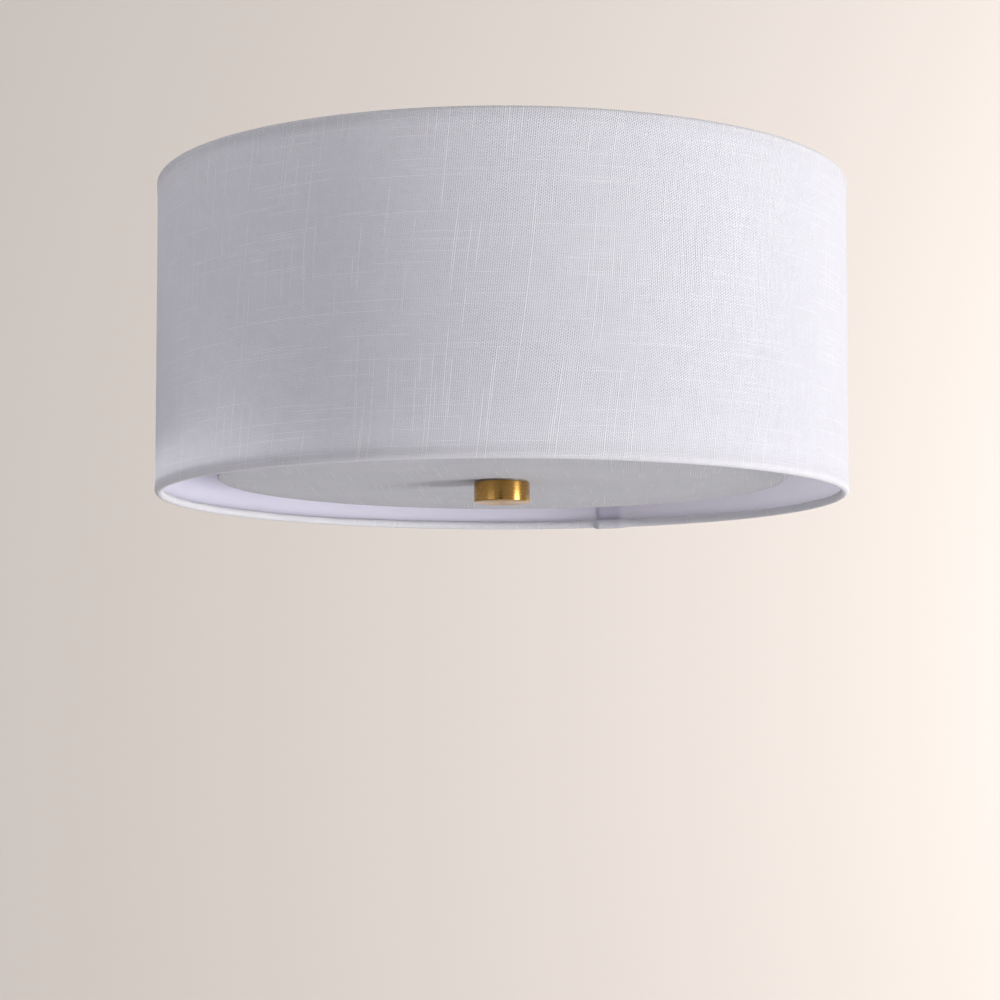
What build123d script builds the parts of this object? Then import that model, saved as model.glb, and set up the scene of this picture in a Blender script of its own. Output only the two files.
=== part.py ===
from build123d import *
import os
from math import acos, cos, degrees, pi, radians, sin, sqrt, tan

# Flush mount ceiling light: a linen drum shade on wire rings, hung from a ceiling canopy, with a
# round linen-covered diffuser inside its lower edge that one brass finial holds up.
# Millimetres. The ceiling is the plane z = 0, the light hangs below it and +Z is up.

# Shade: linen laminated to a plastic liner, its edges rolled round a steel wire ring.
shade_diameter = 406.4
shade_height = 184.15
shade_ceiling_gap = 2.0
fabric_thickness = 0.6
liner_thickness = 0.4
ring_wire_diameter = 3.6
ring_sides = 8               # flats round a ring's wire, and round the hem that wraps it

# Spider: three wire arms from the top ring down to a hub under the canopy.
arm_count = 3
arm_diameter = 3.6
arm_landing = 56.0           # level run outside the hub's edge, under the canopy's floor
arm_weld = 7.0               # run welded under the hub
arm_bend_radius = 20.0
arm_slit_clearance = 0.4     # round each arm, where the hem is slit for it
weld_depth = 0.4
hub_diameter = 36.0
hub_thickness = 2.0

# Canopy and the crossbar that screws to the ceiling box.
canopy_diameter = 127.0
canopy_depth = 25.4
canopy_sheet = 1.0
canopy_corner = 5.0
crossbar_length = 106.0
crossbar_width = 22.0
crossbar_sheet = 1.6
crossbar_flange = 5.0
box_screw_spacing = 79.4
box_slot_width = 4.8
box_slot_length = 14.3
ground_screw_offset = 21.0
ground_screw_diameter = 4.8
ground_head_diameter = 8.6
ground_head_height = 2.6
ground_drive_width = 1.2
ground_drive_depth = 1.1

# Threaded stem parts, all M10 x 1 lamp thread, drawn plain at the thread's outside diameter.
thread_diameter = 10.0
nipple_bore = 7.0
nut_flats = 14.3
nut_height = 4.5
hole_clearance = 0.3         # radial, where a stem passes a plain hole
nipple_end = 3.0             # thread that stands clear inside what it screws into

# Cluster body, which carries the lamp holders, and its screwed cover.
lamp_level = 80.0            # ceiling to the lamps' axis
cluster_diameter = 50.0
cluster_above = 18.0         # top of the body over the lamps' axis
cluster_below = 15.0
cluster_wall = 3.0
cover_thickness = 3.0
cover_spigot = 2.5

# Lamp holders, along their own axis from the middle of the cluster outwards.
lamp_count = 2
holder_flat = 1.0            # depth of the flat on the cluster body where a holder's cap seats
cap_hub_diameter = 13.0
cap_hub_length = 6.0
cap_diameter = 36.0
cap_length = 16.0
cap_wall = 2.0
holder_diameter = 36.0
holder_length = 46.0
holder_wall = 2.5
terminal_space = 11.5
holder_floor = 4.0
screw_shell_wall = 0.5
screw_shell_length = 24.0
screw_shell_clearance = 0.4  # radial, round the lamp's cap
contact_length = 9.0
contact_width = 5.0
contact_height = 2.9
contact_strip = 0.6
contact_eye = 1.0            # between the contact and the rim of the shell's floor
contact_gap = 0.1

# Lamp: a 60 mm bulb, along its axis from its contact outwards.
bulb_diameter = 60.0
bulb_length = 108.0
bulb_cap_diameter = 26.0
bulb_cap_length = 26.0
bulb_insulator_length = 5.0
bulb_tip_diameter = 9.6
bulb_tip_height = 1.5
bulb_neck_diameter = 27.4
bulb_neck_flare = 1.0
bulb_neck_length = 6.0
bulb_waist_diameter = 53.3
bulb_waist_level = 26.0      # from the end of the screw cap
bulb_housing_diameter = 58.6
bulb_housing_length = 36.0
bulb_globe_wall = 1.6
globe_steps = 3              # flats from a globe's widest circle to its crown

# Rod, diffuser and finial.
diffuser_recess = 10.2       # diffuser's underside over the shade's lower edge
diffuser_diameter = 334.2
diffuser_panel_thickness = 3.0
diffuser_fabric_thickness = 0.5
diffuser_turn_in = 10.0
diffuser_hole_clearance = 0.5
diffuser_washer_diameter = 25.0
diffuser_washer_thickness = 1.5
finial_washer_diameter = 31.0
finial_washer_thickness = 0.8
finial_diameter = 33.0
finial_height = 11.9
finial_edge = 0.7
finial_hole_depth = 9.0
finial_engagement = 7.6
finial_fit = 0.05            # radial clearance of the finial on its rod

# Levels and radii that follow.
thread_radius = thread_diameter / 2
shade_radius = shade_diameter / 2
wire_radius = ring_wire_diameter / 2
hem_radius = wire_radius + fabric_thickness
ring_radius = shade_radius - hem_radius
shade_top = -shade_ceiling_gap
shade_bottom = shade_top - shade_height
top_ring_level = shade_top - hem_radius
bottom_ring_level = shade_bottom + hem_radius

hub_top = -canopy_depth
hub_bottom = hub_top - hub_thickness
cluster_top = -lamp_level + cluster_above
cluster_bottom = -lamp_level - cluster_below
nipple_low = cluster_top - cluster_wall - nipple_end

diffuser_bottom = shade_bottom + diffuser_recess
panel_bottom = diffuser_bottom + diffuser_fabric_thickness
panel_top = panel_bottom + diffuser_panel_thickness
washer_top = panel_top + diffuser_washer_thickness
finial_top = diffuser_bottom - finial_washer_thickness
rod_low = finial_top - finial_engagement
rod_nut_low = cluster_bottom + cover_spigot
rod_high = rod_nut_low + nut_height + nipple_end

holder_seat = cluster_diameter / 2 - holder_flat
holder_start = holder_seat + cap_length
holder_floor_start = holder_start + terminal_space
shell_start = holder_floor_start + holder_floor
bulb_start = shell_start + contact_height + contact_gap


def turned(points):
    # Solid of revolution about Z from a closed outline of (radius, height) points.
    return revolve(Plane.XZ * make_face(Polyline(*points, close=True)), Axis.Z)


def disc(diameter, low, height, hole=0.0):
    outline = Circle(diameter / 2)
    if hole:
        outline -= Circle(hole / 2)
    return Pos(0, 0, low) * extrude(outline, height)


def circle_point(radius, level, size, angle):
    # Point at an angle round the wire of a ring, as (radius, height) in the shade's section.
    return (radius + size * cos(radians(angle)), level + size * sin(radians(angle)))


def ring_wire(level, side):
    # One wire ring; its flats start at the shade's wall, so that the hem lies on them.
    step = 360 / ring_sides
    return turned([circle_point(ring_radius, level, wire_radius, side * step * i)
                   for i in range(ring_sides)])


def hem_outline(level, side):
    # The rolled hem's two faces, from the wall round the wire to where its edge is tucked behind
    # the liner. side is 1 round the top ring and -1 round the bottom ring.
    step = 360 / ring_sides
    end = 360 - degrees(acos((wire_radius - liner_thickness) / hem_radius))
    angles = [step * i for i in range(ring_sides) if step * i < end - step / 4] + [end]
    outer = [circle_point(ring_radius, level, hem_radius, side * a) for a in angles]
    inner = [circle_point(ring_radius, level, wire_radius, side * a) for a in angles]
    return outer, inner


def shade_fabric():
    top_outer, top_inner = hem_outline(top_ring_level, 1)
    low_outer, low_inner = hem_outline(bottom_ring_level, -1)
    drum = turned(top_outer + top_inner[::-1] + low_inner + low_outer[::-1])
    slit = extrude(arm_start() * Circle(arm_diameter / 2 + arm_slit_clearance), 2 * hem_radius)
    return drum - [Rot(0, 0, angle) * slit for angle in arm_angles()]


def shade_liner():
    # The liner stops at the wires, inside the fabric.
    outside = ring_radius + wire_radius
    inside = outside - liner_thickness
    end = sqrt(wire_radius**2 - (wire_radius - liner_thickness)**2)
    low, high = bottom_ring_level + end, top_ring_level - end
    return turned([(inside, low), (outside, low), (outside, high), (inside, high)])


def arm_angles():
    return [90 + 360 / arm_count * i for i in range(arm_count)]


def arm_route():
    # Down from the middle of the top ring's wire, then level under the canopy and the hub.
    foot_level = hub_bottom - arm_diameter / 2 + weld_depth
    hub_radius = hub_diameter / 2
    return FilletPolyline(
        (ring_radius, 0, top_ring_level), (hub_radius + arm_landing, 0, foot_level),
        (hub_radius - arm_weld, 0, foot_level), radius=arm_bend_radius)


def arm_start():
    route = arm_route()
    return Plane(origin=route @ 0, z_dir=route % 0)


def shade_spider():
    # Top ring, arms and hub are one welded frame.
    arm = sweep(arm_start() * Circle(arm_diameter / 2), path=arm_route())
    hub = disc(hub_diameter, hub_bottom, hub_thickness, thread_diameter + 2 * hole_clearance)
    frame = ring_wire(top_ring_level, 1) + hub
    for angle in arm_angles():
        frame += Rot(0, 0, angle) * arm
    return frame


def canopy():
    # Spun steel pan: its rim meets the ceiling and its floor takes the spider's hub.
    rim, hole = canopy_diameter / 2, thread_radius + hole_clearance
    low, corner, sheet = -canopy_depth, canopy_corner, canopy_sheet
    corner_lining = corner - sheet * tan(radians(22.5))
    return turned([
        (rim, 0), (rim, low + corner), (rim - corner, low), (hole, low), (hole, low + sheet),
        (rim - sheet - corner_lining, low + sheet), (rim - sheet, low + sheet + corner_lining),
        (rim - sheet, 0)])


def crossbar():
    # Pressed strap with folded edges, two slots for the box screws and a tapped middle.
    half = crossbar_width / 2
    channel = Polyline(
        (-half, 0), (half, 0), (half, -crossbar_flange), (half - crossbar_sheet, -crossbar_flange),
        (half - crossbar_sheet, -crossbar_sheet), (crossbar_sheet - half, -crossbar_sheet),
        (crossbar_sheet - half, -crossbar_flange), (-half, -crossbar_flange), close=True)
    strap = extrude(Plane.YZ * make_face(channel), crossbar_length / 2, both=True)
    slot = SlotOverall(box_slot_length, box_slot_width)
    cuts = Circle(thread_radius) + Pos(ground_screw_offset, 0) * Circle(ground_screw_diameter / 2)
    for side in (-1, 1):
        cuts += Pos(side * box_screw_spacing / 2, 0) * slot
    return strap - extrude(cuts, -crossbar_flange)


def ground_screw():
    shank = disc(ground_screw_diameter, -crossbar_sheet, crossbar_sheet)
    head_low = -crossbar_sheet - ground_head_height
    head = disc(ground_head_diameter, head_low, ground_head_height)
    drive = Pos(0, 0, head_low) * Box(
        ground_head_diameter, ground_drive_width, 2 * ground_drive_depth)
    return Pos(ground_screw_offset, 0, 0) * (head + shank - drive)


def nut(low):
    outline = RegularPolygon(nut_flats / 2, 6, major_radius=False) - Circle(thread_radius)
    return Pos(0, 0, low) * Rot(0, 0, 30) * extrude(outline, nut_height)


def lock_nuts():
    # Under the crossbar, under the hub, on the cluster body, and each side of its cover.
    levels = [-crossbar_sheet - nut_height, hub_bottom - nut_height, cluster_top,
              rod_nut_low, cluster_bottom - cover_thickness - nut_height]
    return Compound(children=[nut(level) for level in levels])


def lamp_angles():
    return [360 / lamp_count * i for i in range(lamp_count)]


def on_lamp_axis(shape, angle):
    # Turns a shape drawn along +Z to lie along a lamp's axis, pointing outwards.
    return Pos(0, 0, -lamp_level) * Rot(0, 0, angle) * Rot(0, 90, 0) * shape


def cluster_body():
    # Turned cup, open downwards, with a flat and a tapped hole for each lamp holder.
    radius, inside = cluster_diameter / 2, cluster_diameter / 2 - cluster_wall
    roof = cluster_top - cluster_wall
    body = turned([
        (thread_radius, cluster_top), (radius, cluster_top), (radius, cluster_bottom),
        (inside, cluster_bottom), (inside, roof), (thread_radius, roof)])
    flat = Pos(0, 0, holder_seat) * extrude(Rectangle(2 * lamp_level, cluster_diameter), radius)
    hole = extrude(Circle(thread_radius), radius)
    for angle in lamp_angles():
        body -= on_lamp_axis(flat, angle)
        body -= on_lamp_axis(hole, angle)
    return body


def cluster_cover():
    radius, spigot = cluster_diameter / 2, cluster_diameter / 2 - cluster_wall
    low = cluster_bottom - cover_thickness
    return turned([
        (thread_radius, low), (radius, low), (radius, cluster_bottom), (spigot, cluster_bottom),
        (spigot, cluster_bottom + cover_spigot), (thread_radius, cluster_bottom + cover_spigot)])


def holder_nipple():
    low = cluster_diameter / 2 - cluster_wall - nipple_end
    high = holder_seat + cap_hub_length + cap_wall + nipple_end / 2
    return disc(thread_diameter, low, high - low, nipple_bore)


def holder_cap():
    # Stepped cap: a tapped hub on a cup for the wires.
    hub, rim, inside = cap_hub_diameter / 2, cap_diameter / 2, cap_diameter / 2 - cap_wall
    shoulder = holder_seat + cap_hub_length
    return turned([
        (thread_radius, holder_seat), (hub, holder_seat), (hub, shoulder), (rim, shoulder),
        (rim, holder_start), (inside, holder_start), (inside, shoulder + cap_wall),
        (thread_radius, shoulder + cap_wall)])


def holder_body():
    # Insulating barrel: a terminal space behind its floor and the lamp's well before it.
    radius, inside = holder_diameter / 2, holder_diameter / 2 - holder_wall
    end = holder_start + holder_length
    barrel = disc(holder_diameter, holder_start, holder_length)
    barrel -= disc(2 * inside, holder_start, terminal_space)
    return barrel - disc(2 * inside, shell_start, end - shell_start)


def screw_shell():
    inside = bulb_cap_diameter / 2 + screw_shell_clearance
    outside = inside + screw_shell_wall
    eye = contact_length / 2 + contact_eye
    end = shell_start + screw_shell_length
    return turned([
        (eye, shell_start), (outside, shell_start), (outside, end), (inside, end),
        (inside, shell_start + screw_shell_wall), (eye, shell_start + screw_shell_wall)])


def centre_contact():
    # Spring strip folded back on itself under the lamp's contact.
    half, strip, height = contact_length / 2, contact_strip, contact_height
    fold = Polyline(
        (-half, 0), (half, 0), (half, height), (-half / 2, height), (-half / 2, height - strip),
        (half - strip, height - strip), (half - strip, strip), (-half, strip), close=True)
    return Pos(0, 0, shell_start) * extrude(
        Plane.XZ * make_face(fold), contact_width / 2, both=True)


def bulb():
    # The lamp's four pieces, in order: contact, screw cap, housing and globe. The globe is a thin
    # dome, open where it sits on the housing.
    tip, cap = bulb_tip_diameter / 2, bulb_cap_diameter / 2
    neck, waist, rim = bulb_neck_diameter / 2, bulb_waist_diameter / 2, bulb_housing_diameter / 2
    globe = bulb_diameter / 2
    cap_end = bulb_start + bulb_cap_length
    rim_level = cap_end + bulb_housing_length
    widest = bulb_start + bulb_length - globe
    contact = turned([
        (0, bulb_start), (tip / 2, bulb_start), (tip, bulb_start + bulb_tip_height),
        (0, bulb_start + bulb_tip_height)])
    screw_cap = turned([
        (0, bulb_start + bulb_tip_height), (tip + contact_gap, bulb_start + bulb_tip_height),
        (cap, bulb_start + bulb_tip_height + bulb_insulator_length), (cap, cap_end), (0, cap_end)])
    housing = turned([
        (0, cap_end), (neck, cap_end), (neck + bulb_neck_flare, cap_end + bulb_neck_length),
        (waist, cap_end + bulb_waist_level), (rim, rim_level), (0, rim_level)])
    angles = [pi / 2 * i / globe_steps for i in range(globe_steps + 1)]
    skin = [(rim, rim_level)] + [(globe * cos(a), widest + globe * sin(a)) for a in angles]
    inner = globe - bulb_globe_wall
    lining = [(rim - bulb_globe_wall, rim_level)] + [
        (inner * cos(a), widest + inner * sin(a)) for a in angles]
    dome = turned(skin[:-1] + [(0, widest + globe), (0, widest + inner)] + lining[-2::-1])
    return contact, screw_cap, housing, dome


def diffuser_panel():
    across = diffuser_diameter - 2 * diffuser_fabric_thickness
    hole = thread_diameter + 2 * diffuser_hole_clearance
    return disc(across, panel_bottom, diffuser_panel_thickness, hole)


def diffuser_fabric():
    # Linen over the underside and the edge, turned in over the top face.
    skin, radius = diffuser_fabric_thickness, diffuser_diameter / 2
    hole = thread_radius + diffuser_hole_clearance
    turned_in = radius - diffuser_turn_in
    return turned([
        (hole, diffuser_bottom), (radius, diffuser_bottom), (radius, panel_top + skin),
        (turned_in, panel_top + skin), (turned_in, panel_top), (radius - skin, panel_top),
        (radius - skin, panel_bottom), (hole, panel_bottom)])


def finial():
    # Plain turned knob with eased edges and a blind tapped hole.
    radius, bore = finial_diameter / 2, thread_radius + finial_fit
    low, edge = finial_top - finial_height, finial_edge
    hole_end = finial_top - finial_hole_depth
    return turned([
        (bore, finial_top), (radius - edge, finial_top), (radius, finial_top - edge),
        (radius, low + edge), (radius - edge, low), (0, low), (0, hole_end), (bore, hole_end)])


pieces = {
    "crossbar": crossbar(),
    "ground_screw": ground_screw(),
    "centre_nipple": disc(thread_diameter, nipple_low, -nipple_low, nipple_bore),
    "lock_nuts": lock_nuts(),
    "canopy": canopy(),
    "shade_spider": shade_spider(),
    "shade_bottom_ring": ring_wire(bottom_ring_level, -1),
    "shade_fabric": shade_fabric(),
    "shade_liner": shade_liner(),
    "cluster_body": cluster_body(),
    "cluster_cover": cluster_cover(),
    "lower_rod": disc(thread_diameter, rod_low, rod_high - rod_low),
    "diffuser_stop_nut": nut(washer_top),
    "diffuser_washer": disc(
        diffuser_washer_diameter, panel_top, diffuser_washer_thickness,
        thread_diameter + 2 * hole_clearance),
    "diffuser_panel": diffuser_panel(),
    "diffuser_fabric": diffuser_fabric(),
    "finial_washer": disc(
        finial_washer_diameter, finial_top, finial_washer_thickness,
        thread_diameter + 2 * hole_clearance),
    "finial": finial(),
}
for number, lamp_angle in enumerate(lamp_angles(), start=1):
    drawn = {
        "holder_nipple": holder_nipple(),
        "holder_cap": holder_cap(),
        "holder_body": holder_body(),
        "screw_shell": screw_shell(),
        "centre_contact": centre_contact(),
    }
    drawn.update(zip(("bulb_tip", "bulb_cap", "bulb_housing", "bulb_globe"), bulb()))
    for name, shape in drawn.items():
        pieces[f"{name}_{number}"] = on_lamp_axis(shape, lamp_angle)

os.makedirs("parts", exist_ok=True)
for name, piece in pieces.items():
    export_step(piece, f"parts/{name}.step")
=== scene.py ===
# Flush mount ceiling light: white linen drum shade, recessed linen diffuser and brass finial.
# Metres throughout, in the CAD model's frame: the ceiling is z = 0 and the light hangs below.
import math

import bmesh
import bpy
from mathutils import Matrix, Vector, noise


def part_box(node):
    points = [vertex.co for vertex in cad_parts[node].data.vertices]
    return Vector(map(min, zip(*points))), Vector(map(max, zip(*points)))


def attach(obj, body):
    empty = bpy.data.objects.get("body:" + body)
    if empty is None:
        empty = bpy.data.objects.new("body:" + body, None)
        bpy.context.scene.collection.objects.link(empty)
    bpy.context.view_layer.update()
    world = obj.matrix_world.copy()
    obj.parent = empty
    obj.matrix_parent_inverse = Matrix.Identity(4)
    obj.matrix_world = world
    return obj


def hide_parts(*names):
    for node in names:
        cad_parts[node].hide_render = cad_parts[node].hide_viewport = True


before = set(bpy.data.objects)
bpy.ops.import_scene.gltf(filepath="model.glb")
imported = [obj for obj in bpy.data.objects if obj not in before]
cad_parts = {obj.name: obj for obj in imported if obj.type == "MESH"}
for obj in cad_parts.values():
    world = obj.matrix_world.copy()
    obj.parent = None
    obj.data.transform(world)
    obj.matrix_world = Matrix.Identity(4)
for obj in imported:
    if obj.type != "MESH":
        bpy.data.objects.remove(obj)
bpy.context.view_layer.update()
mm = 0.001
fullTurn = 2 * math.pi
weldGap = 1e-7       # metres within which two vertices are one
nearEnough = 1e-6    # metres within which two places count as the same


# Helpers for nodes, meshes and pieces

def linear(hexColour):
    channels = [int(hexColour[i:i + 2], 16) / 255 for i in (1, 3, 5)]
    return [c / 12.92 if c <= 0.04045 else ((c + 0.055) / 1.055) ** 2.4 for c in channels] + [1.0]


def addNode(tree, kind, settings=None, inputs=None):
    node = tree.nodes.new(kind)
    for name, value in (settings or {}).items():
        setattr(node, name, value)
    for key, value in (inputs or {}).items():
        if isinstance(value, bpy.types.NodeSocket):
            tree.links.new(value, node.inputs[key])
        else:
            node.inputs[key].default_value = value
    return node


def newMaterial(name, settings):
    material = bpy.data.materials.new(name)
    material.use_nodes = True
    tree = material.node_tree
    shader = tree.nodes["Principled BSDF"]
    for key, value in settings.items():
        shader.inputs[key].default_value = value
    return material, tree, shader


def tintBetween(tree, factor, low, high):
    # One tint below a value of the factor, another above a second value and a blend between them.
    # low and high are (value, colour).
    share = addNode(tree, "ShaderNodeMapRange", inputs={
        "Value": factor, "From Min": low[0], "From Max": high[0]}).outputs[0]
    return addNode(tree, "ShaderNodeMix", {"data_type": "RGBA"},
                   {0: share, 6: linear(low[1]), 7: linear(high[1])}).outputs[2]


def dress(tree, shader, relief, tone=None, gloss=None):
    # Links what a finish varies: its relief as (value, strength, height), its tint, and its
    # roughness as (value, the value's range, roughness over that range).
    value, strength, height = relief
    bump = addNode(tree, "ShaderNodeBump", inputs={
        "Height": value, "Strength": strength, "Distance": height})
    tree.links.new(bump.outputs[0], shader.inputs["Normal"])
    if tone is not None:
        tree.links.new(tone, shader.inputs["Base Color"])
    if gloss is not None:
        value, (low, high), (smooth, rough) = gloss
        spread = addNode(tree, "ShaderNodeMapRange", inputs={
            "Value": value, "From Min": low, "From Max": high, "To Min": smooth, "To Max": rough})
        tree.links.new(spread.outputs[0], shader.inputs["Roughness"])


def place(bm, name, body, materials, replaced, sharpAbove=32.0):
    # The finished mesh becomes a piece that rides on its body and stands for its CAD nodes.
    mesh = bpy.data.meshes.new(name)
    for face in bm.faces:
        face.smooth = True
    bm.to_mesh(mesh)
    bm.free()
    mesh.set_sharp_from_angle(angle=math.radians(sharpAbove))
    for material in materials:
        mesh.materials.append(material)
    piece = bpy.data.objects.new(name, mesh)
    bpy.context.scene.collection.objects.link(piece)
    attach(piece, body)
    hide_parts(*replaced)
    return piece


def onCircle(radius, angle, level):
    return Vector((radius * math.cos(angle), radius * math.sin(angle), level))


def closeUp(bm):
    bmesh.ops.remove_doubles(bm, verts=bm.verts, dist=weldGap)
    bmesh.ops.recalc_face_normals(bm, faces=bm.faces)


def bevelEdges(bm, edges, width, segments):
    bmesh.ops.bevel(bm, geom=edges, offset=width, offset_type="OFFSET", segments=segments,
                    profile=0.5, affect="EDGES", material=-1, clamp_overlap=True)


def sharpEdges(bm, angle):
    return [e for e in bm.edges
            if len(e.link_faces) == 2 and e.calc_face_angle(0.0) > math.radians(angle)]


def cutAway(bm, point, normal):
    # Takes off what lies beyond a plane and returns the edges of the cut.
    cut = bmesh.ops.bisect_plane(
        bm, geom=list(bm.verts) + list(bm.edges) + list(bm.faces), dist=weldGap, plane_co=point,
        plane_no=normal, clear_outer=True)
    return [g for g in cut["geom_cut"] if isinstance(g, bmesh.types.BMEdge)]


def turnedForm(bm, outline, steps, edge, rounds=(), segments=3):
    # Spins a closed outline of (radius, height) points about Z. Its corners are eased by edge, and
    # rounds gives the corners that take a radius of their own, as (outline number, radius).
    form = bmesh.new()
    verts = [form.verts.new((radius, 0, height)) for radius, height in outline]
    edges = [form.edges.new((verts[i - 1], verts[i])) for i in range(len(verts))]
    bmesh.ops.spin(form, geom=verts + edges, cent=(0, 0, 0), axis=(0, 0, 1), angle=fullTurn,
                   steps=steps, use_merge=True)
    closeUp(form)

    def ringEdges(corner):
        radius, height = outline[corner]
        return [e for e in form.edges
                if all(abs(math.hypot(v.co.x, v.co.y) - radius) < nearEnough
                       and abs(v.co.z - height) < nearEnough for v in e.verts)]

    for corner, size in rounds:
        bevelEdges(form, ringEdges(corner), size, segments=8)
    bevelEdges(form, sharpEdges(form, angle=35), edge, segments)
    closeUp(form)
    joinForms(bm, form)


def joinForms(bm, form, matrix=None):
    if matrix is not None:
        bmesh.ops.transform(form, matrix=matrix, verts=form.verts)
    mesh = bpy.data.meshes.new("joined")
    form.to_mesh(mesh)
    form.free()
    bm.from_mesh(mesh)
    bpy.data.meshes.remove(mesh)


ridge = {"sunk": 0.05 * mm, "foot": 0.96}    # its depth in the core, and its share of the pitch


def threadForm(bm, root, crest, low, high, pitch, steps, flat, side=1):
    # A helical ridge round Z, closed at both ends. side is -1 for a thread cut inside a shell.
    form = bmesh.new()
    half, top = pitch / 2, pitch * flat / 2
    foot, start = half * ridge["foot"], root - side * ridge["sunk"]
    section = [(start, -half), (root, -foot), (crest, -top), (crest, top), (root, foot),
               (start, half)]
    verts = [form.verts.new((radius, 0, low + half + height)) for radius, height in section]
    face = form.faces.new(verts)
    climb = high - low - pitch
    turns = climb / pitch
    stepCount = round(steps * turns)
    bmesh.ops.spin(form, geom=[face], cent=(0, 0, 0), axis=(0, 0, 1), angle=fullTurn * turns,
                   dvec=(0, 0, climb / stepCount), steps=stepCount, use_merge=False)
    closeUp(form)
    joinForms(bm, form)


# Finishes

wholeRange = (0.0, 1.0)
middleRange = (0.3, 0.7)    # where most of a noise's values lie

weave = {
    "strayOver": 5.0,                   # scale of the noise that draws threads off the straight
    "stray": (0.020, 0.006, 0.0),       # how far they stray, in metres
    "apart": 7.31,                      # sets one thread's noise apart from the next one's
    "warpRows": (11.0, 0.0),            # which noise gives the fullness, and which the slubs
    "weftRows": (27.0, 40.0),
    "fullAlong": 60.0,                  # how soon a thread's fullness changes along it
    "fullness": (0.62, 1.33),
    "warpSlubAlong": 13.0,
    "weftSlubAlong": 11.0,
    "slubRange": (0.66, 0.73),
    # share of the slubs' painted highlight that the weft slubs take
    "weftSlubHighlight": 0.75,
    "warpHeight": 0.45,                 # shares of the relief's height
    "weftHeight": 0.25,
    "crossingHeight": 0.2,
    "warpSlubHeight": 0.42,
    "weftSlubHeight": 0.08,
}


def weavePattern(tree, warpPitch, weftPitch, lean, slubAmount, seed):
    # Plain weave on the piece's own UV map, which holds metres of cloth: round threads that rise
    # and dip past each other, each a little thicker or thinner than the next. It is drawn at the
    # spacing that the photograph shows, which is near 9 warp and 13 weft threads a centimetre.
    uv = addNode(tree, "ShaderNodeUVMap", {"uv_map": "cloth"}).outputs["UV"]
    drift = addNode(tree, "ShaderNodeTexNoise",
                    inputs={"Vector": uv, "Scale": weave["strayOver"], "Detail": 1.0})
    centred = addNode(tree, "ShaderNodeVectorMath", {"operation": "SUBTRACT"},
                      {0: drift.outputs["Color"], 1: (0.5, 0.5, 0.5)}).outputs[0]
    shifted = addNode(tree, "ShaderNodeVectorMath", {"operation": "MULTIPLY_ADD"},
                      {0: centred, 1: weave["stray"], 2: uv}).outputs[0]
    parts = addNode(tree, "ShaderNodeSeparateXYZ", inputs={"Vector": shifted})
    values = {"across": parts.outputs["X"], "up": parts.outputs["Y"]}

    def reckon(*steps):
        # Each step is a name for its result, an operation, and the names or numbers it uses.
        for name, operation, *terms in steps:
            values[name] = addNode(tree, "ShaderNodeMath", {"operation": operation}, {
                i: values.get(term, term) for i, term in enumerate(terms)}).outputs[0]

    def threadNoise(way, along, reach, offset):
        # a value that changes from thread to thread and slowly along each one
        reckon(("along", "MULTIPLY", along, reach))
        point = addNode(tree, "ShaderNodeCombineXYZ", inputs={
            "X": values[way + "Place"], "Y": values["along"], "Z": seed + offset}).outputs[0]
        return addNode(tree, "ShaderNodeTexNoise",
                       inputs={"Vector": point, "Scale": 1.0, "Detail": 1.0}).outputs["Fac"]

    # the warp leans, because the cloth was cut off its grain
    reckon(("leaning", "MULTIPLY_ADD", "up", -math.tan(math.radians(lean)), "across"),
           ("warp", "DIVIDE", "leaning", warpPitch), ("weft", "DIVIDE", "up", weftPitch))
    (fullFrom, fullTo), (thin, full) = middleRange, weave["fullness"]
    slubFrom, slubTo = (limit - slubAmount for limit in weave["slubRange"])
    for way, along in (("warp", "up"), ("weft", "across")):
        # the side to side wave of the threads, the round of each, how full it is, and its slubs
        fullRow, slubRow = weave[way + "Rows"]
        reckon((way + "Count", "FLOOR", way),
               (way + "Place", "MULTIPLY", way + "Count", weave["apart"]),
               (way + "Turn", "MULTIPLY", way, math.pi),
               (way + "Wave", "SINE", way + "Turn"),
               (way + "Round", "MULTIPLY", way + "Wave", way + "Wave"))
        values[way + "Full"] = addNode(tree, "ShaderNodeMapRange", inputs={
            "Value": threadNoise(way, along, weave["fullAlong"], fullRow),
            "From Min": fullFrom, "From Max": fullTo, "To Min": thin, "To Max": full}).outputs[0]
        values[way + "Thick"] = addNode(
            tree, "ShaderNodeMapRange", {"interpolation_type": "SMOOTHSTEP"},
            {"Value": threadNoise(way, along, weave[way + "SlubAlong"], slubRow),
             "From Min": slubFrom, "From Max": slubTo}).outputs[0]
        reckon((way + "Slub", "MULTIPLY", way + "Thick", way + "Round"),
               (way + "Body", "MULTIPLY", way + "Round", way + "Full"),
               (way + "Gap", "SUBTRACT", 1.0, way + "Round"))
    # every second crossing has the warp on top, and the ones between have it underneath
    reckon(("over", "MULTIPLY", "warpWave", "weftWave"),
           ("bothFull", "ADD", "warpFull", "weftFull"),
           ("crossing", "MULTIPLY", "over", "bothFull"),
           # painted highlight on the slubs, and painted shade in the pores between the threads
           ("weftHighlight", "MULTIPLY", "weftSlub", weave["weftSlubHighlight"]),
           ("slub", "MAXIMUM", "warpSlub", "weftHighlight"),
           ("paintedPoreShade", "MULTIPLY", "warpGap", "weftGap"),
           ("height", "MULTIPLY", "warpBody", weave["warpHeight"]),
           ("height", "MULTIPLY_ADD", "weftBody", weave["weftHeight"], "height"),
           ("height", "MULTIPLY_ADD", "crossing", weave["crossingHeight"], "height"),
           ("height", "MULTIPLY_ADD", "warpSlub", weave["warpSlubHeight"], "height"),
           ("height", "MULTIPLY_ADD", "weftSlub", weave["weftSlubHeight"], "height"))
    return uv, values


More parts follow.
